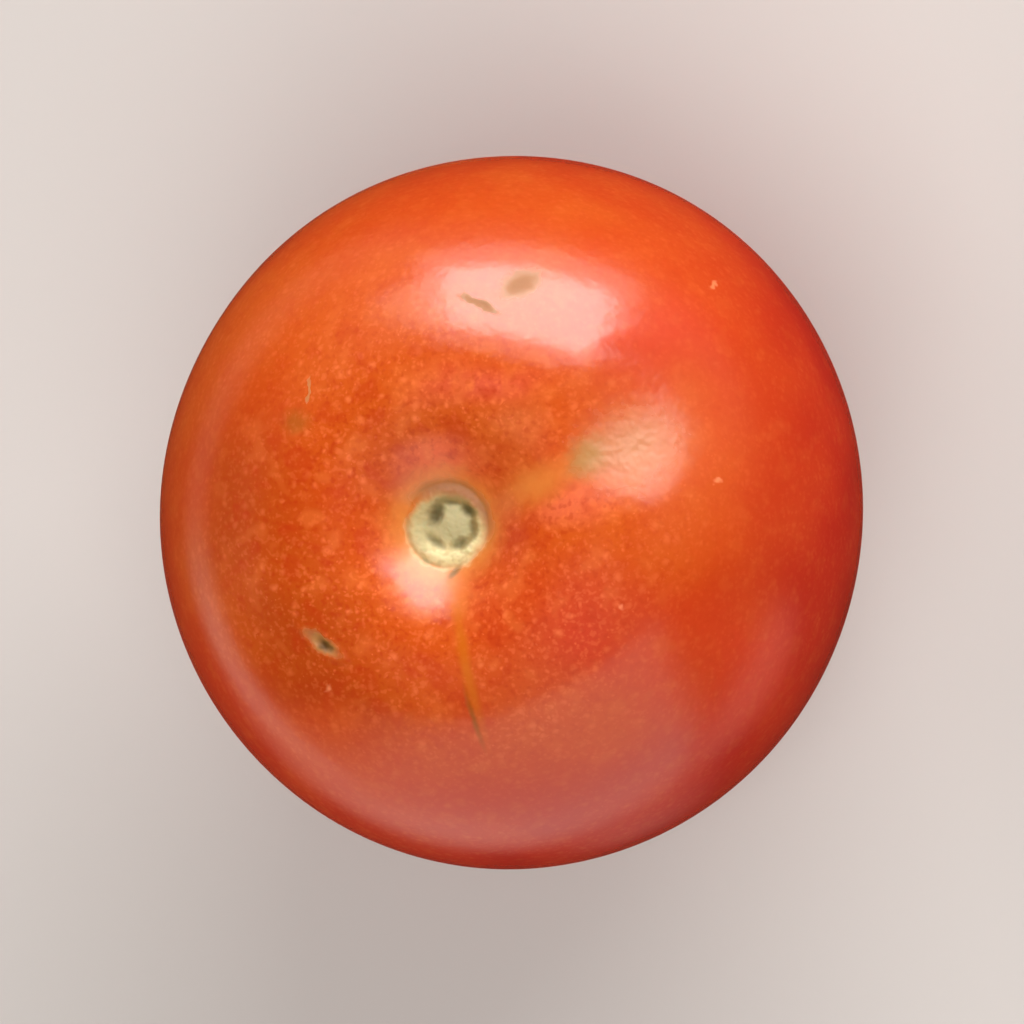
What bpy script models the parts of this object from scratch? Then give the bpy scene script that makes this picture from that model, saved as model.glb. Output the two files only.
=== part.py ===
"""A round tomato, whole, picked without its calyx and standing on its blossom end.

Metres, +Z up along the stem axis. The origin is the middle of the small flat spot that the fruit rests on.
The fruit is one solid. Its outline is spun round the stem axis as rings of points, and each point is then
moved a little by the lobes, the dent and the relief of the scars at its two ends.
"""

import math

import bmesh
import bpy
from mathutils import Vector, noise
from mathutils.geometry import interpolate_bezier

# The outline, from the stem scar over the shoulder and the waist down to the flat spot
WIDTH = 0.0460
HEIGHT = 0.0430
WAIST_HEIGHT = 0.0220
CREST_RADIUS = 0.0083
SCAR_RADIUS = 0.0027
SCAR_DEPTH = 0.0024
SCAR_WALL_SLOPE = math.radians(36)
FOOT_RADIUS = 0.0045
FOOT_SLOPE = math.radians(9)

# Handle lengths as shares of the span of their curve; 0.552 gives a quarter of an ellipse
SHOULDER_FULLNESS = 0.55
BELLY_FULLNESS = 0.565
WALL_FULLNESS = 0.42

# The cross-section is a little longer one way than the other, and three furrows part the lobes on the shoulder
OVAL_SHARE = 0.011
OVAL_AZIMUTH = math.radians(78)
FURROWS = (  # azimuth, depth
    (math.radians(26), 0.00045),
    (math.radians(150), 0.00022),
    (math.radians(-79), 0.00030),
)
FURROW_HALF_ANGLE = math.radians(40)
FURROW_START_RADIUS = 0.0030
FURROW_FULL_RADIUS = 0.0070
FURROW_END_HEIGHT = 0.0300

# A shallow dent where the deepest furrow runs out
DENT_CENTRE = Vector((0.0122, 0.0066))
DENT_SIZE = 0.0061
DENT_DEPTH = 0.00070

# Slow unevenness of the whole skin, fading to nothing at the flat spot
UNEVEN_DEPTH = 0.00016
UNEVEN_WAVELENGTH = 0.017
UNEVEN_FADE_HEIGHT = 0.0080

# The stem scar: a corky pad inside a ring of pits, where the stem's vessels were, and a raised pale rim
PAD_CENTRE = Vector((0.00036, 0.00012))
PAD_HEIGHT = 0.00020
PAD_RADIUS = 0.0012
RIM_HEIGHT = 0.00020
RIM_RADIUS = 0.0021
RIM_HALF_WIDTH = 0.0006
PIT_RING_RADIUS = 0.00136
PITS = (  # azimuth, length along the ring, width across it, depth
    (math.radians(130), 0.0014, 0.00095, 0.00042),
    (math.radians(168), 0.0010, 0.00065, 0.00028),
    (math.radians(93), 0.0010, 0.00055, 0.00022),
    (math.radians(44), 0.0012, 0.00075, 0.00034),
    (math.radians(2), 0.0014, 0.00055, 0.00018),
    (math.radians(-63), 0.0015, 0.00080, 0.00032),
    (math.radians(216), 0.0015, 0.00065, 0.00028),
)

# The blossom scar, a small pit in the middle of the flat spot
BLOSSOM_RADIUS = 0.0011
BLOSSOM_DEPTH = 0.00035

# Mesh: the edge length aimed at on the scars and on the body, and the fewest and most points in a ring
SCAR_CELL = 0.00024
BODY_CELL = 0.0019
FEWEST_POINTS = 10
MOST_POINTS = 80
CURVE_SAMPLES = 200

# Finish
SKIN_COLOUR = (0.62, 0.045, 0.012, 1.0)
SKIN_ROUGHNESS = 0.28
CORK_COLOUR = (0.52, 0.42, 0.22, 1.0)
CORK_ROUGHNESS = 0.75


def clear_scene():
    for obj in list(bpy.data.objects):
        bpy.data.objects.remove(obj, do_unlink=True)


def ramp(low, high, value):
    """0 below low, 1 above high, and a smooth step between them. High may be the smaller."""
    share = min(max((value - low) / (high - low), 0.0), 1.0)
    return share * share * (3 - 2 * share)


def hump(distance, radius):
    """1 at its middle, falling smoothly to 0 at the radius and beyond."""
    share = min(abs(distance) / radius, 1.0)
    return (1 - share * share) ** 2


def turn_between(azimuth, other):
    """The signed angle from other to azimuth, the short way round."""
    return (azimuth - other + math.pi) % (2 * math.pi) - math.pi


def outline_curves():
    """The Bezier curves of the half outline, each as knot, handle, handle, knot, with X as radius and Z as height."""
    pad_height = HEIGHT - SCAR_DEPTH
    half = WIDTH / 2
    centre = Vector((0, 0, pad_height))
    scar_edge = Vector((SCAR_RADIUS, 0, pad_height))
    crest = Vector((CREST_RADIUS, 0, HEIGHT))
    waist = Vector((half, 0, WAIST_HEIGHT))
    foot_edge = Vector((FOOT_RADIUS, 0, 0))
    origin = Vector((0, 0, 0))

    wall_reach = WALL_FULLNESS * (CREST_RADIUS - SCAR_RADIUS)
    wall_rise = Vector((math.cos(SCAR_WALL_SLOPE), 0, math.sin(SCAR_WALL_SLOPE))) * wall_reach
    shoulder_reach = Vector((SHOULDER_FULLNESS * (half - CREST_RADIUS), 0, 0))
    shoulder_rise = Vector((0, 0, SHOULDER_FULLNESS * (HEIGHT - WAIST_HEIGHT)))
    belly_drop = Vector((0, 0, BELLY_FULLNESS * WAIST_HEIGHT))
    foot_reach = BELLY_FULLNESS * (half - FOOT_RADIUS)
    foot_rise = Vector((math.cos(FOOT_SLOPE), 0, math.sin(FOOT_SLOPE))) * foot_reach
    return (
        (centre, centre.lerp(scar_edge, 1 / 3), centre.lerp(scar_edge, 2 / 3), scar_edge),
        (scar_edge, scar_edge + wall_rise, crest - Vector((wall_reach, 0, 0)), crest),
        (crest, crest + shoulder_reach, waist + shoulder_rise, waist),
        (waist, waist - belly_drop, foot_edge + foot_rise, foot_edge),
        (foot_edge, foot_edge.lerp(origin, 1 / 3), foot_edge.lerp(origin, 2 / 3), origin),
    )


def cell_size(radius):
    return SCAR_CELL + (BODY_CELL - SCAR_CELL) * ramp(SCAR_RADIUS, CREST_RADIUS, radius)


def stations(curve):
    """(radius, height) along one curve, closer together where the cells are small, without its first point."""
    samples = interpolate_bezier(*curve, CURVE_SAMPLES)
    cells = [0.0]
    for before, after in zip(samples, samples[1:]):
        middle_radius = (before.x + after.x) / 2
        cells.append(cells[-1] + (after - before).length / cell_size(middle_radius))
    count = max(round(cells[-1]), 1)
    found = []
    at = 0
    for step in range(1, count):
        wanted = cells[-1] * step / count
        while cells[at + 1] < wanted:
            at += 1
        share = (wanted - cells[at]) / (cells[at + 1] - cells[at])
        point = samples[at].lerp(samples[at + 1], share)
        found.append((point.x, point.z))
    found.append((samples[-1].x, samples[-1].z))
    return found


def points_in_ring(radius, points_before):
    """FEWEST_POINTS doubled until its edges are short enough, but at most doubled from the ring before."""
    count = FEWEST_POINTS
    while count < MOST_POINTS and 2 * math.pi * radius / count > cell_size(radius):
        count *= 2
    return min(count, 2 * points_before)


def scar_relief(x, y):
    """How far the stem scar stands above its plane at this place."""
    pad_x = x - PAD_CENTRE.x
    pad_y = y - PAD_CENTRE.y
    from_pad = math.hypot(pad_x, pad_y)
    height = PAD_HEIGHT * hump(from_pad, PAD_RADIUS)
    height += RIM_HEIGHT * hump(math.hypot(x, y) - RIM_RADIUS, RIM_HALF_WIDTH)
    across = from_pad - PIT_RING_RADIUS
    azimuth = math.atan2(pad_y, pad_x)
    for pit_azimuth, length, width, depth in PITS:
        along = turn_between(azimuth, pit_azimuth) * PIT_RING_RADIUS
        height -= depth * hump(math.hypot(along / length, across / width), 0.5)
    return height


def body_relief(point):
    """How far the body stands out from the spun outline at this place, away from the middle of the fruit."""
    from_axis = math.hypot(point.x, point.y)
    azimuth = math.atan2(point.y, point.x)
    shoulder = ramp(FURROW_START_RADIUS, FURROW_FULL_RADIUS, from_axis)
    shoulder *= ramp(FURROW_END_HEIGHT, HEIGHT, point.z)
    furrows = sum(
        depth * hump(turn_between(azimuth, furrow_azimuth), FURROW_HALF_ANGLE)
        for furrow_azimuth, depth in FURROWS
    )
    dent = DENT_DEPTH * hump((point.xy - DENT_CENTRE).length, DENT_SIZE) * (point.z > WAIST_HEIGHT)
    uneven = UNEVEN_DEPTH * noise.noise(point / UNEVEN_WAVELENGTH) * ramp(0, UNEVEN_FADE_HEIGHT, point.z)
    return uneven - shoulder * furrows - dent


def surface_point(radius, height, azimuth):
    """The point of the skin for one place on the outline and one direction round the stem axis."""
    oval = 1 + OVAL_SHARE * math.cos(2 * (azimuth - OVAL_AZIMUTH))
    point = Vector((radius * oval * math.cos(azimuth), radius * oval * math.sin(azimuth), height))
    if height < FOOT_RADIUS * math.tan(FOOT_SLOPE) and radius <= FOOT_RADIUS:
        point.z += BLOSSOM_DEPTH * hump(radius, BLOSSOM_RADIUS)
        return point
    if radius < SCAR_RADIUS:
        point.z += scar_relief(point.x, point.y)
    outwards = (point - Vector((0, 0, WAIST_HEIGHT))).normalized()
    return point + outwards * body_relief(point)


def join_rings(mesh, first, second):
    """Faces between two rings of points, where one may have twice as many points as the other."""
    wider, narrower = (first, second) if len(first) >= len(second) else (second, first)
    ratio = len(wider) // len(narrower)
    for index, corner in enumerate(narrower):
        next_corner = narrower[(index + 1) % len(narrower)]
        outer = [wider[(index * ratio + step) % len(wider)] for step in range(ratio + 1)]
        if ratio == 1:
            faces = [(corner, outer[0], outer[1], next_corner)]
        else:
            faces = [
                (corner, outer[0], outer[1]),
                (corner, outer[1], next_corner),
                (next_corner, outer[1], outer[2]),
            ]
        for face in faces:
            mesh.faces.new(face if wider is second else face[::-1])


def close_ring(mesh, ring, pole):
    """A fan of triangles from a ring to the pole inside it."""
    for index, corner in enumerate(ring):
        mesh.faces.new((pole, corner, ring[(index + 1) % len(ring)]))


def fruit_mesh():
    places = [place for curve in outline_curves() for place in stations(curve)]
    mesh = bmesh.new()
    rings = []
    count = FEWEST_POINTS
    for radius, height in places[:-1]:
        count = points_in_ring(radius, count)
        azimuths = [2 * math.pi * index / count for index in range(count)]
        rings.append([mesh.verts.new(surface_point(radius, height, azimuth)) for azimuth in azimuths])
    for upper, lower in zip(rings, rings[1:]):
        join_rings(mesh, upper, lower)
    close_ring(mesh, rings[0], mesh.verts.new(surface_point(0, HEIGHT - SCAR_DEPTH, 0)))
    close_ring(mesh, rings[-1], mesh.verts.new(surface_point(0, 0, 0)))
    bmesh.ops.recalc_face_normals(mesh, faces=mesh.faces)
    return mesh


def material(name, colour, roughness):
    made = bpy.data.materials.new(name)
    made.use_nodes = True
    shader = made.node_tree.nodes["Principled BSDF"]
    shader.inputs["Base Color"].default_value = colour
    shader.inputs["Roughness"].default_value = roughness
    shader.inputs["Metallic"].default_value = 0.0
    return made


def tomato():
    """The whole fruit, with its skin and, inside the scar's edge, its cork."""
    shape = fruit_mesh()
    for face in shape.faces:
        middle = face.calc_center_median()
        on_scar = middle.z > WAIST_HEIGHT and math.hypot(middle.x, middle.y) < SCAR_RADIUS
        face.material_index = 1 if on_scar else 0
        face.smooth = True
    data = bpy.data.meshes.new("tomato")
    shape.to_mesh(data)
    shape.free()
    data.materials.append(material("tomato_skin", SKIN_COLOUR, SKIN_ROUGHNESS))
    data.materials.append(material("tomato_cork", CORK_COLOUR, CORK_ROUGHNESS))
    fruit = bpy.data.objects.new("tomato", data)
    bpy.context.scene.collection.objects.link(fruit)
    return fruit


clear_scene()
tomato()
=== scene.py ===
"""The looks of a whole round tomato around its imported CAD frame: skin, stem scar, marks, light and camera.

Metres, +Z up along the stem axis. +X is the photograph's right and +Y its top.
"""

import math

import bmesh
import bpy
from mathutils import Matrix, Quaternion, Vector, noise
from mathutils.geometry import interpolate_bezier


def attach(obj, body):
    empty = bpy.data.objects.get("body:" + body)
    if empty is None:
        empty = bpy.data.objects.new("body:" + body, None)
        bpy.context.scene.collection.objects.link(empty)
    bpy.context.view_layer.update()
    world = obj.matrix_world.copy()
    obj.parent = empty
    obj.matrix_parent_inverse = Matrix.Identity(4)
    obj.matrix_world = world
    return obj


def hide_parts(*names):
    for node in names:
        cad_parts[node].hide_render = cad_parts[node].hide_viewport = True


# The outline and the relief, with the names and values of the part's source, apart from two things. The marks
# on the stem scar have a place each, where the source has pits on a ring, and the cork has a grain.
WIDTH = 0.0460
HEIGHT = 0.0430
WAIST_HEIGHT = 0.0220
CREST_RADIUS = 0.0083
SCAR_RADIUS = 0.0027
SCAR_DEPTH = 0.0024
SCAR_WALL_SLOPE = math.radians(36)
FOOT_RADIUS = 0.0045
FOOT_SLOPE = math.radians(9)
SHOULDER_FULLNESS = 0.55
BELLY_FULLNESS = 0.565
WALL_FULLNESS = 0.42
OVAL_SHARE = 0.011
OVAL_AZIMUTH = math.radians(78)
FURROWS = (  # azimuth, depth
    (math.radians(26), 0.00045),
    (math.radians(150), 0.00022),
    (math.radians(-79), 0.00030),
)
FURROW_HALF_ANGLE = math.radians(40)
FURROW_START_RADIUS = 0.0030
FURROW_FULL_RADIUS = 0.0070
FURROW_END_HEIGHT = 0.0300
DENT_CENTRE = Vector((0.0122, 0.0066))
DENT_SIZE = 0.0061
DENT_DEPTH = 0.00070
UNEVEN_DEPTH = 0.00016
UNEVEN_WAVELENGTH = 0.017
UNEVEN_FADE_HEIGHT = 0.0080
PAD_CENTRE = Vector((0.00036, 0.00012))
PAD_HEIGHT = 0.00020
PAD_RADIUS = 0.0012
RIM_HEIGHT = 0.00020
RIM_RADIUS = 0.0021
RIM_HALF_WIDTH = 0.0006
SCAR_MARKS = (  # place on the pad, azimuth of the long way, half length, half width, depth, darkness
    ((-0.00108, 0.00048), math.radians(67), 0.00128, 0.00070, 0.00034, 1.00),
    ((-0.00008, 0.00124), math.radians(-8), 0.00085, 0.00034, 0.00014, 0.60),
    ((0.00104, 0.00078), math.radians(-36), 0.00085, 0.00056, 0.00028, 0.90),
    ((0.00134, -0.00034), math.radians(97), 0.00100, 0.00046, 0.00010, 0.45),
    ((0.00042, -0.00136), math.radians(34), 0.00085, 0.00058, 0.00026, 0.70),
    ((-0.00110, -0.00120), math.radians(-36), 0.00110, 0.00044, 0.00020, 0.60),
    ((-0.00168, -0.00240), math.radians(-30), 0.00050, 0.00028, 0.00004, 0.35),
)
GRAIN_HEIGHT = 0.00003
GRAIN_SCALE = 2600
GRAIN_OCTAVES = 3
BLOSSOM_RADIUS = 0.0011
BLOSSOM_DEPTH = 0.00035

# Mesh: edge lengths aimed at on the scar, on the shoulder, on the body and under it, and points in a ring
SCAR_CELL = 0.00009
SHOULDER_CELL = 0.00017
BODY_CELL = 0.00050
SHOULDER_EDGE = 0.0150
BODY_EDGE = WIDTH * 0.45
FEWEST_POINTS = 9
MOST_POINTS = 576
CURVE_SAMPLES = 3000

# Small healed wounds of the skin: centre, azimuth of the long way, half length, half width, depth, lip
WOUNDS = (
    (Vector((-0.00762, -0.00745)), math.radians(-35), 0.00150, 0.00042, 0.00030, 0.00008),
    (Vector((0.00238, 0.01398)), math.radians(-22), 0.00105, 0.00016, 0.00007, 0.00003),
    (Vector((0.00206, -0.01221)), math.radians(-77), 0.00260, 0.00018, 0.00004, 0.00000),
)

# How far a wound wanders from its straight line, as a share of its half width, and the scale of that noise
WANDER_SHARE = 0.5
WANDER_SCALE = 1500

# Distances from a wound's middle, where 1 is the edge of its ellipse
WOUND_EDGE = 1.1
LIP_MIDDLE = 1.15
LIP_HALF_WIDTH = 0.5

# Camera and light, in the photograph's terms
CAMERA_TILT = math.radians(13.2)
CAMERA_LEAN = math.radians(11.4)
CAMERA_DISTANCE = 0.60
CAMERA_TARGET = Vector((0, 0, 0.0222))
FRAME_WIDTH = 0.0667
SENSOR_WIDTH = 36.0
LAMP_DISTANCE = 0.75
LAMP_TARGET = Vector((0, 0, 0.03))
LAMP_COLOUR = (1.0, 0.97, 0.95)
FLOOR_HALF = 3.0

# The material works in millimetres. Its patches of colour are ellipses with this half height.
MILLIMETRE = 1000.0
PATCH_HALF_HEIGHT = 12.0

# Wide casts of colour over the shoulders, and three patches of painted light among them: centre, half length,
# half width, azimuth, share, colour
BROWNISH = (174, 66, 11)
REDDER = (200, 56, 26)
CASTS_AND_PAINTED_LIGHT = (
    ((-12.5, 1.5, 41.0), 8.5, 9.0, 0.0, 0.9, BROWNISH),
    ((-8.5, -7.5, 40.0), 9.5, 7.0, 0.0, 0.95, BROWNISH),
    ((5.0, 5.6, 41.5), 4.6, 2.8, math.radians(20), 0.4, (206, 108, 52)),
    # Painted highlight: a pale pink skirt of the dent's highlight, below and left of the dent
    ((9.3, 1.5, 41.8), 3.8, 1.9, math.radians(15), 0.6, (238, 118, 84)),
    # Painted sheen: a pink haze of reflected light below the window's highlight
    ((3.2, 8.8, 41.5), 7.5, 2.4, math.radians(-6), 0.45, (222, 94, 78)),
    ((-7.6, -10.4, 41.0), 3.8, 2.8, 0.0, 0.6, (168, 54, 10)),
    # Painted light: a paler patch that lightens the shade on the scar's upper wall
    ((-0.3, 3.8, 42.0), 3.4, 2.6, 0.0, 0.7, (234, 102, 52)),
    ((9.5, -6.5, 41.0), 10.0, 7.5, 0.0, 0.9, REDDER),
    ((12.5, 13.0, 36.0), 8.5, 7.5, 0.0, 0.7, REDDER),
    ((17.5, -10.0, 33.0), 7.0, 8.0, 0.0, 0.7, (214, 64, 30)),
)

# The dry skin in the dent: centre, half length, half width, azimuth
DENT_SKIN = ((11.9, 5.0, 41.0), 5.0, 3.8, math.radians(22))


def ramp(low, high, value):
    """0 below low, 1 above high, and a smooth step between them. High may be the smaller."""
    share = min(max((value - low) / (high - low), 0.0), 1.0)
    return share * share * (3 - 2 * share)


def hump(distance, radius):
    """1 at its middle, falling smoothly to 0 at the radius and beyond."""
    share = min(abs(distance) / radius, 1.0)
    return (1 - share * share) ** 2


def turn_between(azimuth, other):
    """The signed angle from other to azimuth, the short way round."""
    return (azimuth - other + math.pi) % (2 * math.pi) - math.pi


def outline_curves():
    """The Bezier curves of the half outline, each as knot, handle, handle, knot. X is radius, Z is height."""
    pad_height = HEIGHT - SCAR_DEPTH
    half = WIDTH / 2
    centre = Vector((0, 0, pad_height))
    scar_edge = Vector((SCAR_RADIUS, 0, pad_height))
    crest = Vector((CREST_RADIUS, 0, HEIGHT))
    waist = Vector((half, 0, WAIST_HEIGHT))
    foot_edge = Vector((FOOT_RADIUS, 0, 0))
    origin = Vector((0, 0, 0))

    wall_reach = WALL_FULLNESS * (CREST_RADIUS - SCAR_RADIUS)
    wall_rise = Vector((math.cos(SCAR_WALL_SLOPE), 0, math.sin(SCAR_WALL_SLOPE))) * wall_reach
    shoulder_reach = Vector((SHOULDER_FULLNESS * (half - CREST_RADIUS), 0, 0))
    shoulder_rise = Vector((0, 0, SHOULDER_FULLNESS * (HEIGHT - WAIST_HEIGHT)))
    belly_drop = Vector((0, 0, BELLY_FULLNESS * WAIST_HEIGHT))
    foot_reach = BELLY_FULLNESS * (half - FOOT_RADIUS)
    foot_rise = Vector((math.cos(FOOT_SLOPE), 0, math.sin(FOOT_SLOPE))) * foot_reach
    return (
        (centre, centre.lerp(scar_edge, 1 / 3), centre.lerp(scar_edge, 2 / 3), scar_edge),
        (scar_edge, scar_edge + wall_rise, crest - Vector((wall_reach, 0, 0)), crest),
        (crest, crest + shoulder_reach, waist + shoulder_rise, waist),
        (waist, waist - belly_drop, foot_edge + foot_rise, foot_edge),
        (foot_edge, foot_edge.lerp(origin, 1 / 3), foot_edge.lerp(origin, 2 / 3), origin),
    )


def cell_size(radius, height):
    if height < WAIST_HEIGHT:
        return SHOULDER_CELL + (BODY_CELL - SHOULDER_CELL) * ramp(FOOT_RADIUS / 2, 2 * FOOT_RADIUS, radius)
    near_scar = SCAR_CELL + (SHOULDER_CELL - SCAR_CELL) * ramp(SCAR_RADIUS, 2 * SCAR_RADIUS, radius)
    return near_scar + (BODY_CELL - near_scar) * ramp(SHOULDER_EDGE, BODY_EDGE, radius)


def stations(curve):
    """(radius, height) along one curve, closest where the cells are small, without its first point."""
    samples = interpolate_bezier(*curve, CURVE_SAMPLES)
    cells = [0.0]
    for before, after in zip(samples, samples[1:]):
        middle = (before + after) / 2
        cells.append(cells[-1] + (after - before).length / cell_size(middle.x, middle.z))
    count = max(round(cells[-1]), 1)
    found = []
    at = 0
    for step in range(1, count):
        wanted = cells[-1] * step / count
        while cells[at + 1] < wanted:
            at += 1
        share = (wanted - cells[at]) / (cells[at + 1] - cells[at])
        point = samples[at].lerp(samples[at + 1], share)
        found.append((point.x, point.z))
    found.append((samples[-1].x, samples[-1].z))
    return found


def points_in_ring(radius, height, points_before):
    """FEWEST_POINTS doubled until its edges are short enough, but at most doubled from the ring before."""
    count = FEWEST_POINTS
    while count < MOST_POINTS and 2 * math.pi * radius / count > cell_size(radius, height):
        count *= 2
    return min(count, 2 * points_before)


def scar_relief(x, y):
    """How far the stem scar stands above its plane at this place."""
    pad_x = x - PAD_CENTRE.x
    pad_y = y - PAD_CENTRE.y
    from_pad = math.hypot(pad_x, pad_y)
    height = PAD_HEIGHT * hump(from_pad, PAD_RADIUS)
    height += RIM_HEIGHT * hump(math.hypot(x, y) - RIM_RADIUS, RIM_HALF_WIDTH)
    for place, azimuth, half_length, half_width, depth, _ in SCAR_MARKS:
        gap = Vector((pad_x, pad_y)) - Vector(place)
        along = gap.x * math.cos(azimuth) + gap.y * math.sin(azimuth)
        across = gap.y * math.cos(azimuth) - gap.x * math.sin(azimuth)
        height -= depth * hump(math.hypot(along / half_length, across / half_width), 1.0)
    grain = noise.fractal(Vector((x, y, 0)) * GRAIN_SCALE, 0.7, 2.0, GRAIN_OCTAVES)
    return height + GRAIN_HEIGHT * grain * ramp(SCAR_RADIUS, SCAR_RADIUS * 0.8, math.hypot(x, y))


def wound_relief(point):
    """Shallow healed wounds, each a dip along its middle, and a low lip round those that have one."""
    if point.z < WAIST_HEIGHT:
        return 0.0
    relief = 0.0
    for centre, azimuth, half_length, half_width, depth, lip in WOUNDS:
        gap = point.xy - centre
        if gap.length > 2 * half_length:
            continue
        wander = WANDER_SHARE * half_width * noise.noise(point * WANDER_SCALE)
        along = gap.x * math.cos(azimuth) + gap.y * math.sin(azimuth)
        across = gap.y * math.cos(azimuth) - gap.x * math.sin(azimuth) + wander
        distance = math.hypot(along / half_length, across / half_width)
        relief += lip * hump(distance - LIP_MIDDLE, LIP_HALF_WIDTH) - depth * hump(distance, WOUND_EDGE)
    return relief


def body_relief(point):
    """How far the body stands out from the spun outline here, away from the middle of the fruit."""
    from_axis = math.hypot(point.x, point.y)
    azimuth = math.atan2(point.y, point.x)
    shoulder = ramp(FURROW_START_RADIUS, FURROW_FULL_RADIUS, from_axis)
    shoulder *= ramp(FURROW_END_HEIGHT, HEIGHT, point.z)
    furrows = sum(
        depth * hump(turn_between(azimuth, furrow_azimuth), FURROW_HALF_ANGLE)
        for furrow_azimuth, depth in FURROWS
    )
    dent = DENT_DEPTH * hump((point.xy - DENT_CENTRE).length, DENT_SIZE) * (point.z > WAIST_HEIGHT)
    uneven = UNEVEN_DEPTH * noise.noise(point / UNEVEN_WAVELENGTH) * ramp(0, UNEVEN_FADE_HEIGHT, point.z)
    return uneven - shoulder * furrows - dent + wound_relief(point)


def surface_point(radius, height, azimuth):
    """The point of the skin for one place on the outline and one direction round the stem axis."""
    oval = 1 + OVAL_SHARE * math.cos(2 * (azimuth - OVAL_AZIMUTH))
    point = Vector((radius * oval * math.cos(azimuth), radius * oval * math.sin(azimuth), height))
    if height < FOOT_RADIUS * math.tan(FOOT_SLOPE) and radius <= FOOT_RADIUS:
        point.z += BLOSSOM_DEPTH * hump(radius, BLOSSOM_RADIUS)
        return point
    if radius < SCAR_RADIUS:
        point.z += scar_relief(point.x, point.y)
    outwards = (point - Vector((0, 0, WAIST_HEIGHT))).normalized()
    return point + outwards * body_relief(point)


def join_rings(mesh, first, second):
    """Faces between two rings of points, where one may have twice as many points as the other."""
    wider, narrower = (first, second) if len(first) >= len(second) else (second, first)
    ratio = len(wider) // len(narrower)
    for index, corner in enumerate(narrower):
        next_corner = narrower[(index + 1) % len(narrower)]
        outer = [wider[(index * ratio + step) % len(wider)] for step in range(ratio + 1)]
        if ratio == 1:
            faces = [(corner, outer[0], outer[1], next_corner)]
        else:
            faces = [
                (corner, outer[0], outer[1]),
                (corner, outer[1], next_corner),
                (next_corner, outer[1], outer[2]),
            ]
        for face in faces:
            mesh.faces.new(face if wider is second else face[::-1])


def close_ring(mesh, ring, pole):
    """A fan of triangles from a ring to the pole inside it."""
    for index, corner in enumerate(ring):
        mesh.faces.new((pole, corner, ring[(index + 1) % len(ring)]))


def fruit_object():
    places = [place for curve in outline_curves() for place in stations(curve)]
    mesh = bmesh.new()
    rings = []
    count = FEWEST_POINTS
    for radius, height in places[:-1]:
        count = points_in_ring(radius, height, count)
        azimuths = [2 * math.pi * index / count for index in range(count)]
        rings.append([mesh.verts.new(surface_point(radius, height, azimuth)) for azimuth in azimuths])
    for upper, lower in zip(rings, rings[1:]):
        join_rings(mesh, upper, lower)
    close_ring(mesh, rings[0], mesh.verts.new(surface_point(0, HEIGHT - SCAR_DEPTH, 0)))
    close_ring(mesh, rings[-1], mesh.verts.new(surface_point(0, 0, 0)))
    bmesh.ops.recalc_face_normals(mesh, faces=mesh.faces)
    for face in mesh.faces:
        face.smooth = True
    data = bpy.data.meshes.new("tomato_fruit")
    mesh.to_mesh(data)
    mesh.free()
    made = bpy.data.objects.new("tomato_fruit", data)
    bpy.context.scene.collection.objects.link(made)
    return made


class Nodes:
    """Short calls for the nodes of one material or world. Inputs are numbers, tuples or nodes' outputs."""

    def __init__(self, owner):
        owner.use_nodes = True
        self.tree = owner.node_tree

    def feed(self, socket, value):
        if isinstance(value, bpy.types.NodeSocket):
            self.tree.links.new(value, socket)
        else:
            socket.default_value = value

    def make(self, kind, inputs=(), **settings):
        node = self.tree.nodes.new(kind)
        for key, value in settings.items():
            setattr(node, key, value)
        for key, value in dict(inputs).items():
            self.feed(node.inputs[key], value)
        return node

    def math(self, operation, *values):
        return self.make("ShaderNodeMath", dict(enumerate(values)), operation=operation).outputs[0]

    def chain(self, operation, values):
        total = values[0]
        for value in values[1:]:
            total = self.math(operation, total, value)
        return total

    def add(self, *values):
        return self.chain("ADD", values)

    def product(self, *values):
        return self.chain("MULTIPLY", values)

    def most(self, *values):
        return self.chain("MAXIMUM", values)

    def step(self, value, low, high, to_low=0.0, to_high=1.0):
        """A smooth step from low to high. High may be the smaller."""
        inputs = {"Value": value, "From Min": low, "From Max": high, "To Min": to_low, "To Max": to_high}
        return self.make("ShaderNodeMapRange", inputs, interpolation_type="SMOOTHSTEP").outputs["Result"]

    def vector(self, operation, *values):
        made = self.make("ShaderNodeVectorMath", dict(enumerate(values)), operation=operation)
        return made.outputs["Value" if operation in ("LENGTH", "DOT_PRODUCT") else "Vector"]

    def moved(self, place, way, reach):
        """A place pushed along a noise by so many millimetres along each axis."""
        return self.vector("ADD", place, self.vector("MULTIPLY", way, reach))

    def from_stem(self, place):
        """The distance of a place from the stem axis."""
        return self.vector("LENGTH", self.vector("MULTIPLY", place, (1.0, 1.0, 0.0)))

    def noise(self, place, scale, detail=2.0, roughness=0.5, output="Fac"):
        inputs = {"Vector": place, "Scale": scale, "Detail": detail, "Roughness": roughness}
        return self.make("ShaderNodeTexNoise", inputs).outputs[output]

    def cells(self, place, scale):
        """Distance to the nearest of many scattered points, and a random value that each of them has."""
        outputs = self.make("ShaderNodeTexVoronoi", {"Vector": place, "Scale": scale}).outputs
        random = self.make("ShaderNodeSeparateColor", {"Color": outputs["Color"]}).outputs[0]
        return outputs["Distance"], random

    def mix(self, factor, first, second, blend="MIX"):
        inputs = {0: factor, 6: first, 7: second}
        return self.make("ShaderNodeMix", inputs, data_type="RGBA", blend_type=blend).outputs[2]

    def patch(self, place, centre, half_length, half_width, azimuth=0.0, inside=0.0):
        """1 in the middle of an ellipse on the skin, as far out as the share inside, and 0 outside it."""
        node = self.make("ShaderNodeTexGradient", {"Vector": place}, gradient_type="SPHERICAL")
        node.texture_mapping.vector_type = "TEXTURE"
        node.texture_mapping.translation = centre
        node.texture_mapping.rotation = (0.0, 0.0, azimuth)
        node.texture_mapping.scale = (half_length, half_width, PATCH_HALF_HEIGHT)
        return self.step(node.outputs["Fac"], 0.0, 1.0 - inside)


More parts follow.
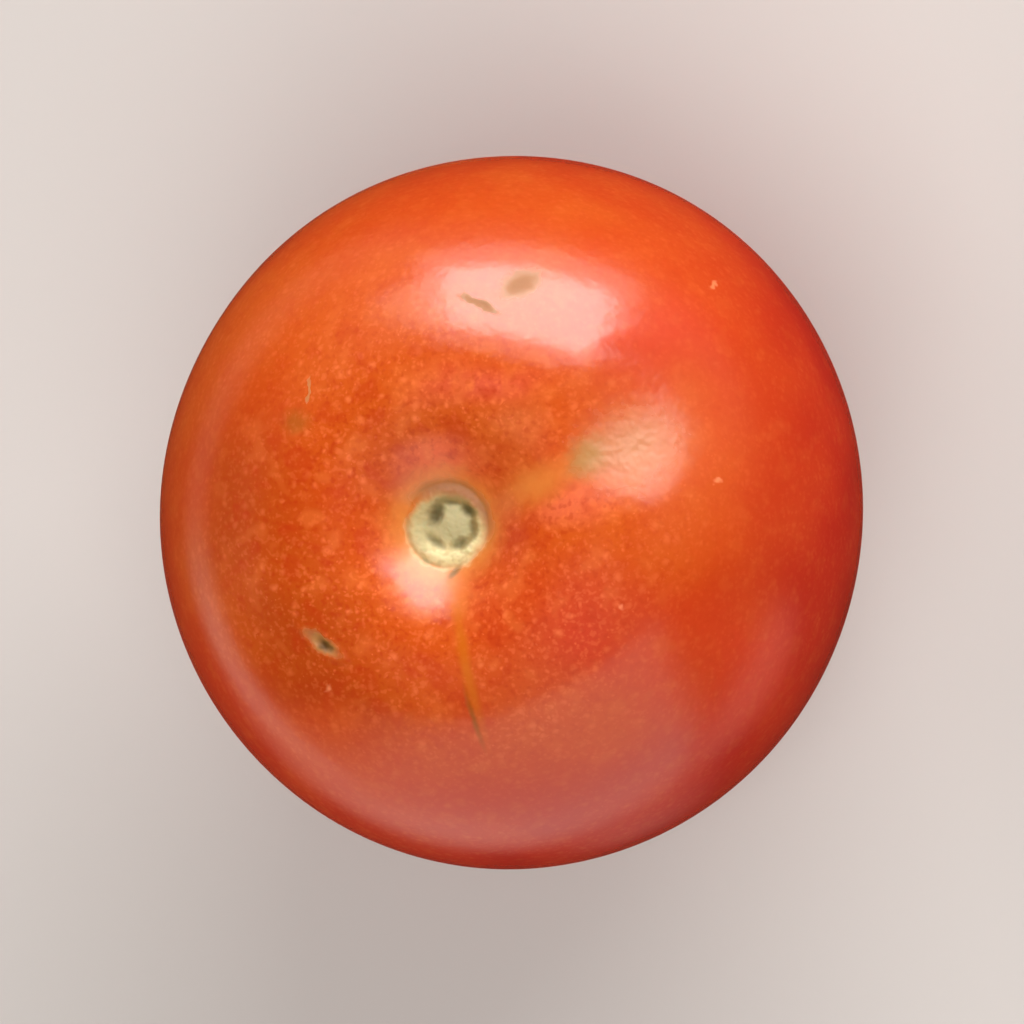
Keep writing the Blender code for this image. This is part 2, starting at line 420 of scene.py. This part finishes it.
def srgb(red, green, blue):
    """Linear RGBA for a colour given as 0 to 255."""
    def linear(value):
        share = value / 255
        return share / 12.92 if share <= 0.04045 else ((share + 0.055) / 1.055) ** 2.4
    return (linear(red), linear(green), linear(blue), 1.0)


def skin_material():
    material = bpy.data.materials.new("tomato_skin")
    n = Nodes(material)
    shader = n.tree.nodes["Principled BSDF"]
    coords = n.make("ShaderNodeTexCoord").outputs["Object"]
    place = n.vector("MULTIPLY", coords, (MILLIMETRE,) * 3)
    wobble = n.vector("SUBTRACT", n.noise(place, 1.6, 1.0, 0.6, "Color"), (0.5, 0.5, 0.5))
    shaken = n.moved(place, wobble, (0.7, 0.7, 0.7))
    calm = n.moved(place, wobble, (0.2, 0.2, 0.2))
    ragged = n.moved(place, wobble, (3.5, 3.5, 0.0))
    broad = n.vector("SUBTRACT", n.noise(place, 0.16, 0.0, 0.5, "Color"), (0.5, 0.5, 0.5))
    drifted = n.moved(place, broad, (6.0, 6.0, 6.0))

    split = n.make("ShaderNodeSeparateXYZ", {"Vector": place})
    flat = n.make("ShaderNodeCombineXYZ", {"X": split.outputs["X"], "Y": split.outputs["Y"]}).outputs[0]
    from_axis = n.vector("LENGTH", flat)
    height = split.outputs["Z"]
    top = n.step(height, 26.0, 40.0)
    on_top = n.step(height, 30.0, 38.0)

    # Deep red sides that turn orange over the shoulders, and the casts and patches of painted light over them
    cloud = n.noise(place, 0.13, 1.0)
    ripe = n.mix(n.step(cloud, 0.35, 0.65), srgb(184, 36, 22), srgb(194, 46, 24))
    shoulder = n.mix(n.step(cloud, 0.30, 0.70), srgb(198, 74, 18), srgb(202, 86, 22))
    tilt = n.vector("DOT_PRODUCT", place, (-0.12, 0.32, 1.0))
    level = n.add(tilt, n.product(n.math("SUBTRACT", cloud, 0.5), 6.0))
    colour = n.mix(n.step(level, 22.0, 43.0), ripe, shoulder)
    for centre, half_length, half_width, azimuth, share, cast in CASTS_AND_PAINTED_LIGHT:
        reach = n.patch(drifted, centre, half_length, half_width, azimuth)
        colour = n.mix(n.product(reach, share), colour, srgb(*cast))

    # Fine pale flecks of uneven size, strongest round the stem scar and on the left, and the mottle between
    fleck_field = n.moved(place, wobble, (0.45, 0.45, 0.45))
    near_dot, dot_size = n.cells(fleck_field, 1.40)
    dots = n.step(near_dot, n.add(n.product(dot_size, dot_size, 0.52), 0.15), 0.0)
    near_speck, speck_size = n.cells(n.vector("ADD", fleck_field, (31.0, 17.0, 5.0)), 2.1)
    specks = n.step(near_speck, n.add(n.product(speck_size, 0.38), 0.12), 0.0)
    blotches = n.noise(place, 2.4, 1.0, 0.6)
    islands = n.step(blotches, 0.54, 0.72)
    thin = n.step(cloud, 0.38, 0.62, 0.60, 1.0)
    leftwards = n.step(split.outputs["X"], 16.0, -8.0, 0.78, 1.0)
    inwards = n.step(from_axis, 19.0, 7.0, 0.30, 1.0)
    upwards = n.step(height, 4.0, 34.0, 0.3, 1.0)
    spread = n.product(inwards, leftwards, upwards)
    flecks = n.product(n.most(dots, n.product(specks, 0.7), n.product(islands, 0.5)), thin, spread)
    colour = n.mix(n.product(flecks, 0.72), colour, srgb(240, 124, 66))
    colour = n.mix(n.product(n.step(blotches, 0.48, 0.28), spread, 0.45), colour, srgb(178, 48, 12))
    mottle = n.noise(place, 0.62, 1.0, 0.6)
    colour = n.mix(n.product(n.step(mottle, 0.46, 0.30), spread, 0.45), colour, srgb(184, 50, 14))
    colour = n.mix(n.product(n.step(mottle, 0.54, 0.72), spread, 0.35), colour, srgb(226, 116, 50))

    # A few single larger flecks
    singles = n.most(
        n.patch(shaken, (11.6, -5.0, 42.3), 0.30, 0.28, inside=0.2),
        n.patch(shaken, (15.3, 15.0, 32.3), 0.30, 0.28, inside=0.2),
        n.patch(shaken, (17.0, 2.8, 38.8), 0.32, 0.28, inside=0.2),
        n.patch(shaken, (-7.4, -10.3, 41.5), 0.50, 0.18, math.radians(40)),
    )
    colour = n.mix(n.product(singles, 0.7), colour, srgb(240, 140, 90))

    # Amber seams that run out from the scar, the dry tan skin in the dent, the green-tan blotch between the
    # two, and the halo round the scar
    amber = srgb(200, 102, 15)
    down_wide = n.patch(shaken, (1.10, -4.7, 42.3), 2.6, 1.35, math.radians(-80))
    down_thin = n.patch(calm, (1.75, -8.8, 42.5), 6.8, 0.60, math.radians(-79), inside=0.1)
    colour = n.mix(n.product(down_wide, 0.60), colour, srgb(222, 124, 46))
    colour = n.mix(n.product(down_thin, 0.80), colour, amber)
    right_seam = n.patch(shaken, (6.2, 2.7, 42.3), 4.6, 1.9, math.radians(24.5))
    colour = n.mix(n.product(right_seam, 0.85), colour, srgb(218, 128, 56))
    colour = n.mix(n.product(n.patch(shaken, *DENT_SKIN), 0.85), colour, srgb(186, 122, 76))
    blotch = n.patch(shaken, (9.4, 4.4, 42.0), 2.1, 1.7, math.radians(62), inside=0.1)
    colour = n.mix(n.product(blotch, 0.80), colour, srgb(168, 124, 66))
    halo = n.product(n.step(n.from_stem(shaken), 4.6, 2.6), top)
    colour = n.mix(n.product(halo, 0.85), colour, srgb(226, 138, 62))

    # Healed wounds: a tan rim and a thin line, two tan smears, a dark core, a crack and a green-brown tint
    wound_rim = n.most(
        n.patch(shaken, (-7.62, -7.45, 42.6), 1.95, 0.78, math.radians(-35), inside=0.2),
        n.product(n.patch(shaken, (-8.6, 8.5, 42.4), 1.1, 0.16, math.radians(88), inside=0.4), 0.7),
    )
    colour = n.mix(n.product(wound_rim, 0.85), colour, srgb(186, 136, 72))
    smears = n.most(
        n.patch(shaken, (2.28, 14.02, 41.8), 1.9, 0.36, math.radians(-22), inside=0.3),
        n.patch(shaken, (4.65, 15.25, 40.6), 1.8, 1.25, math.radians(25), inside=0.15),
    )
    colour = n.mix(n.product(n.step(smears, 0.0, 0.5), 0.9), colour, srgb(150, 106, 66))
    wound_core = n.patch(shaken, (-7.4, -7.6, 42.6), 0.85, 0.50, math.radians(-35), inside=0.1)
    colour = n.mix(wound_core, colour, srgb(96, 62, 12))
    crack = n.patch(calm, (2.06, -12.2, 42.0), 2.9, 0.30, math.radians(-77))
    colour = n.mix(n.product(crack, 0.80), colour, srgb(146, 80, 8))
    green = n.patch(shaken, (-9.4, 6.5, 42.5), 1.5, 1.2, inside=0.1)
    colour = n.mix(n.product(green, 0.45), colour, srgb(146, 92, 26))

    # The stem scar: a band of painted shade beside it, straw-coloured cork painted darker at its shaded top
    # and paler at its lit bottom, and a grey-green pad with a groove and dark marks round it. A slit runs on
    # from it.
    scar_place = n.moved(flat, wobble, (0.45, 0.45, 0.0))
    from_cork = n.vector("LENGTH", n.vector("ADD", scar_place, (0.05, 0.22, 0.0)))
    up_scar = n.make("ShaderNodeSeparateXYZ", {"Vector": scar_place}).outputs["Y"]
    shaded_side = n.step(n.vector("DOT_PRODUCT", scar_place, (0.45, 0.89, 0.0)), -0.5, 1.8)
    shade = n.product(n.step(n.math("ABSOLUTE", n.add(from_cork, -2.45)), 1.10, 0.10), shaded_side)
    colour = n.mix(n.product(shade, on_top, 0.85), colour, srgb(152, 104, 64))
    scar = n.product(n.step(n.add(from_cork, n.step(up_scar, -0.3, 2.2, 0.0, 0.45)), 2.95, 2.15), on_top)
    grain = n.noise(place, 1.8, 1.0, 0.6)
    # Painted light and shade: the cork is darker tan on its upper, shaded side and pale cream on its lower,
    # lit side
    cork_and_painted_light = n.mix(n.step(up_scar, 0.8, -2.0), srgb(190, 166, 112), srgb(236, 222, 168))
    cork_and_painted_light = n.mix(n.product(n.step(grain, 0.58, 0.34), 0.45), cork_and_painted_light, srgb(184, 162, 104))
    inner = n.product(n.step(from_cork, 2.20, 1.80), n.step(up_scar, -1.7, -0.7))
    cork_and_painted_light = n.mix(n.product(inner, 0.6), cork_and_painted_light, srgb(182, 170, 122))
    colour = n.mix(scar, colour, cork_and_painted_light)
    pad_centre = (PAD_CENTRE.x * MILLIMETRE, PAD_CENTRE.y * MILLIMETRE, 0.0)
    pad_place = n.vector("SUBTRACT", scar_place, pad_centre)
    from_pad = n.vector("LENGTH", pad_place)
    pad = n.product(n.step(from_pad, 1.45, 0.85), on_top)
    colour = n.mix(n.product(pad, 0.85), colour, srgb(184, 176, 130))
    groove = n.step(n.math("ABSOLUTE", n.add(from_pad, -1.50)), 0.42, 0.08)
    groove_side = n.step(n.vector("DOT_PRODUCT", pad_place, (0.8, 0.6, 0.0)), -1.2, 0.6, 0.20, 0.65)
    colour = n.mix(n.product(groove, groove_side, on_top), colour, srgb(138, 116, 58))
    marks = 0.0
    for (x, y), azimuth, half_length, half_width, _, darkness in SCAR_MARKS:
        centre = (x * MILLIMETRE, y * MILLIMETRE, 0.0)
        long_way, short_way = half_length * MILLIMETRE, half_width * MILLIMETRE
        mark = n.patch(pad_place, centre, long_way, short_way, azimuth, inside=0.1)
        marks = n.most(marks, n.product(mark, darkness))
    colour = n.mix(n.product(marks, on_top), colour, srgb(98, 84, 44))
    slit = n.patch(flat, (0.55, -3.0, 0.0), 0.90, 0.34, math.radians(48), inside=0.1)
    colour = n.mix(n.product(slit, on_top, 0.9), colour, srgb(128, 96, 44))

    # The blossom scar under the fruit: a tan spot with a dark core
    under = n.step(height, 3.0, 1.0)
    star = n.product(n.step(from_axis, 0.9, 0.6), under)
    colour = n.mix(n.product(star, 0.9), colour, srgb(170, 110, 50))
    star_core = n.product(n.step(from_axis, 0.5, 0.3), under)
    colour = n.mix(star_core, colour, srgb(96, 62, 20))

    n.feed(shader.inputs["Base Color"], colour)

    # Gloss: matt on cork, duller in the dent and round the scar, and a worn patch that mirrors less
    rough = n.step(cloud, 0.3, 0.7, 0.17, 0.20)
    dull_dent = n.patch(ragged, (11.6, 5.0, 41.0), 5.2, 4.2, math.radians(22), inside=0.2)
    dull_halo = n.product(n.step(n.from_stem(ragged), 6.2, 4.2), on_top)
    dull = n.most(n.product(dull_halo, 0.14), n.product(dull_dent, 0.36))
    corky = n.most(scar, n.product(shade, on_top, 0.9), n.product(wound_rim, 0.8), smears, star, dull)
    n.feed(shader.inputs["Roughness"], n.add(rough, n.product(corky, 0.5)))
    worn = n.patch(shaken, (-3.5, -4.1, 42.0), 3.4, 1.3, math.radians(-41), inside=0.1)
    n.feed(shader.inputs["Specular IOR Level"], n.step(worn, 0.0, 1.0, 0.5, 0.2))
    shader.inputs["IOR"].default_value = 1.6
    shader.inputs["Subsurface Weight"].default_value = 0.22
    shader.inputs["Subsurface Radius"].default_value = (1.0, 0.22, 0.10)
    shader.inputs["Subsurface Scale"].default_value = 0.0025

    # Relief finer than the mesh: skin cells over the whole fruit, deeper ones in the dent, grain on the cork
    crinkled = n.patch(place, *DENT_SKIN)
    skin_bump = n.product(n.noise(place, 1.4, 1.0, 0.6), n.add(n.product(crinkled, 0.08), 0.030))
    cork_bump = n.product(n.noise(place, 3.6, 0.0, 0.7), n.step(from_axis, 2.8, 2.3), on_top, 0.08)
    bump_inputs = {"Height": n.add(skin_bump, cork_bump), "Strength": 0.5, "Distance": 0.001}
    n.feed(shader.inputs["Normal"], n.make("ShaderNodeBump", bump_inputs).outputs["Normal"])
    return material


def floor_object():
    data = bpy.data.meshes.new("floor")
    corners = [(x * FLOOR_HALF, y * FLOOR_HALF, 0) for x, y in ((-1, -1), (1, -1), (1, 1), (-1, 1))]
    data.from_pydata(corners, [], [(0, 1, 2, 3)])
    made = bpy.data.objects.new("floor", data)
    material = bpy.data.materials.new("floor_pale")
    shader = Nodes(material).tree.nodes["Principled BSDF"]
    shader.inputs["Base Color"].default_value = srgb(200, 197, 194)
    shader.inputs["Roughness"].default_value = 0.8
    shader.inputs["Specular IOR Level"].default_value = 0.0
    data.materials.append(material)
    bpy.context.scene.collection.objects.link(made)
    made.visible_glossy = False
    return made


def towards(azimuth, elevation):
    """The unit vector for a direction given in degrees."""
    turn, rise = math.radians(azimuth), math.radians(elevation)
    return Vector((math.cos(turn) * math.cos(rise), math.sin(turn) * math.cos(rise), math.sin(rise)))


def lamp(name, azimuth, elevation, width, height, radiance, gleam=True, fill=True, roll=0.0):
    """A soft rectangular light that faces the fruit. Angles and sizes are degrees as seen from the fruit.

    Gleam: it is mirrored in glossy surfaces. Fill: it lights matt ones.
    """
    data = bpy.data.lights.new(name, "AREA")
    data.shape = "RECTANGLE"
    data.size = 2 * LAMP_DISTANCE * math.tan(math.radians(width / 2))
    data.size_y = 2 * LAMP_DISTANCE * math.tan(math.radians(height / 2))
    data.energy = radiance * math.pi * data.size * data.size_y
    data.color = LAMP_COLOUR
    made = bpy.data.objects.new(name, data)
    bpy.context.scene.collection.objects.link(made)
    out = towards(azimuth, elevation)
    made.location = LAMP_TARGET + out * LAMP_DISTANCE
    facing = (-out).to_track_quat("-Z", "Y") @ Quaternion((0, 0, 1), math.radians(roll))
    made.rotation_euler = facing.to_euler()
    made.visible_glossy = gleam
    made.visible_diffuse = fill


def camera_object():
    out = Vector((
        math.sin(CAMERA_TILT) * math.cos(CAMERA_LEAN),
        math.sin(CAMERA_TILT) * math.sin(CAMERA_LEAN),
        math.cos(CAMERA_TILT),
    ))
    up = (Vector((0, 1, 0)) - out * out.y).normalized()
    right = up.cross(out)
    data = bpy.data.cameras.new("camera")
    data.sensor_width = SENSOR_WIDTH
    data.lens = SENSOR_WIDTH * CAMERA_DISTANCE / FRAME_WIDTH
    made = bpy.data.objects.new("camera", data)
    made.location = CAMERA_TARGET + out * CAMERA_DISTANCE
    turned = made.rotation_euler.to_matrix()
    turned.col[0], turned.col[1], turned.col[2] = right, up, out
    made.rotation_euler = turned.to_euler()
    bpy.context.scene.collection.objects.link(made)
    return made


def surroundings():
    """Soft light from all round: a haze round the window, deep red low down, and a pale glow at the bottom.

    Four planes bound the glow. A fainter one lies above it, and a band goes on from it at the left and at
    the right. Bottom, left and right are the photograph's.
    """
    world = bpy.data.worlds.new("surroundings")
    n = Nodes(world)
    direction = n.make("ShaderNodeTexCoord").outputs["Generated"]
    split = n.make("ShaderNodeSeparateXYZ", {"Vector": direction})
    across, upward, height = split.outputs["X"], split.outputs["Y"], split.outputs["Z"]

    def beyond(normal, low, high):
        return n.step(n.vector("DOT_PRODUCT", direction, tuple(Vector(normal).normalized())), low, high)

    colour = n.mix(n.step(height, 0.10, 0.50), (0.14, 0.030, 0.018, 1.0), (0.050, 0.042, 0.036, 1.0))
    haze = n.product(
        beyond(towards(72.0, 22.0), 0.12, 0.85),
        n.step(height, -0.50, -0.10),
        n.step(height, 0.95, 0.60),
        0.40,
    )
    left_of_edge = beyond((0.93, 1.11, -0.50), 0.09, -0.16)
    glow = n.product(
        left_of_edge,
        beyond((-0.06, -0.75, 1.0), -0.30, 0.12),
        beyond((0.0, 1.0, 1.0), 0.08, -0.10),
        beyond((-1.5, 0.72, 1.0), 0.56, -0.05),
        n.step(upward, 0.0, -0.20),
        n.step(across, -0.75, -0.20, 0.42, 0.88),
    )
    upper = n.product(
        left_of_edge,
        n.step(height, 0.95, 0.60),
        n.step(upward, 0.0, -0.40),
        n.step(across, -0.15, 0.05),
        0.22,
    )
    left_band = n.product(
        n.step(n.math("ABSOLUTE", n.add(height, 0.30)), 0.27, 0.04),
        n.step(across, -0.25, -0.55),
        n.step(upward, 0.05, -0.35, 0.20, 0.72),
    )
    right_band = n.product(
        n.step(n.math("ABSOLUTE", n.add(height, 0.58)), 0.25, 0.0),
        n.step(across, 0.20, 0.40),
        n.step(upward, -0.24, -0.38),
        0.31,
    )
    colour = n.mix(n.most(glow, upper, left_band, right_band), colour, (1.0, 0.97, 0.88, 1.0), "ADD")
    colour = n.mix(haze, colour, (1.0, 0.92, 0.86, 1.0), "ADD")
    n.feed(n.tree.nodes["Background"].inputs["Color"], colour)
    bpy.context.scene.world = world


def studio():
    """A window at the photograph's top, in four parts that are only mirrored, and three lamps that fill."""
    lamp("window", 78.0, 25.0, 49.0, 41.0, 5.9, fill=False, roll=13.3)
    lamp("window_edge", 78.5, 25.0, 61.6, 67.0, 1.65, fill=False, roll=13.3)
    lamp("window_side", 112.0, 27.7, 17.3, 29.0, 1.2, fill=False, roll=13.3)
    lamp("window_corner", 39.0, 35.5, 18.0, 14.0, 2.2, fill=False)
    lamp("daylight", 68.0, 24.0, 50.0, 40.0, 6.2, gleam=False)
    lamp("overhead", -64.0, 70.0, 40.0, 40.0, 3.7, gleam=False)
    lamp("left", 180.0, 14.0, 40.0, 40.0, 3.1, gleam=False)
    surroundings()


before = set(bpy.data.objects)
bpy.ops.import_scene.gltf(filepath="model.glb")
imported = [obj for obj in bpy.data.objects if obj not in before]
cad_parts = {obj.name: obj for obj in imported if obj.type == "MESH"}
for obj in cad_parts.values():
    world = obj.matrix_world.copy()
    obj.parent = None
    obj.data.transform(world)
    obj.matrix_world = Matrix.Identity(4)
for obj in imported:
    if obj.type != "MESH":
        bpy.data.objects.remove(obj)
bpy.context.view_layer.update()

fruit = fruit_object()
fruit.data.materials.append(skin_material())
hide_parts("tomato")
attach(fruit, "root")

floor_object()
studio()
bpy.context.scene.camera = camera_object()
bpy.context.scene.view_settings.view_transform = "Standard"
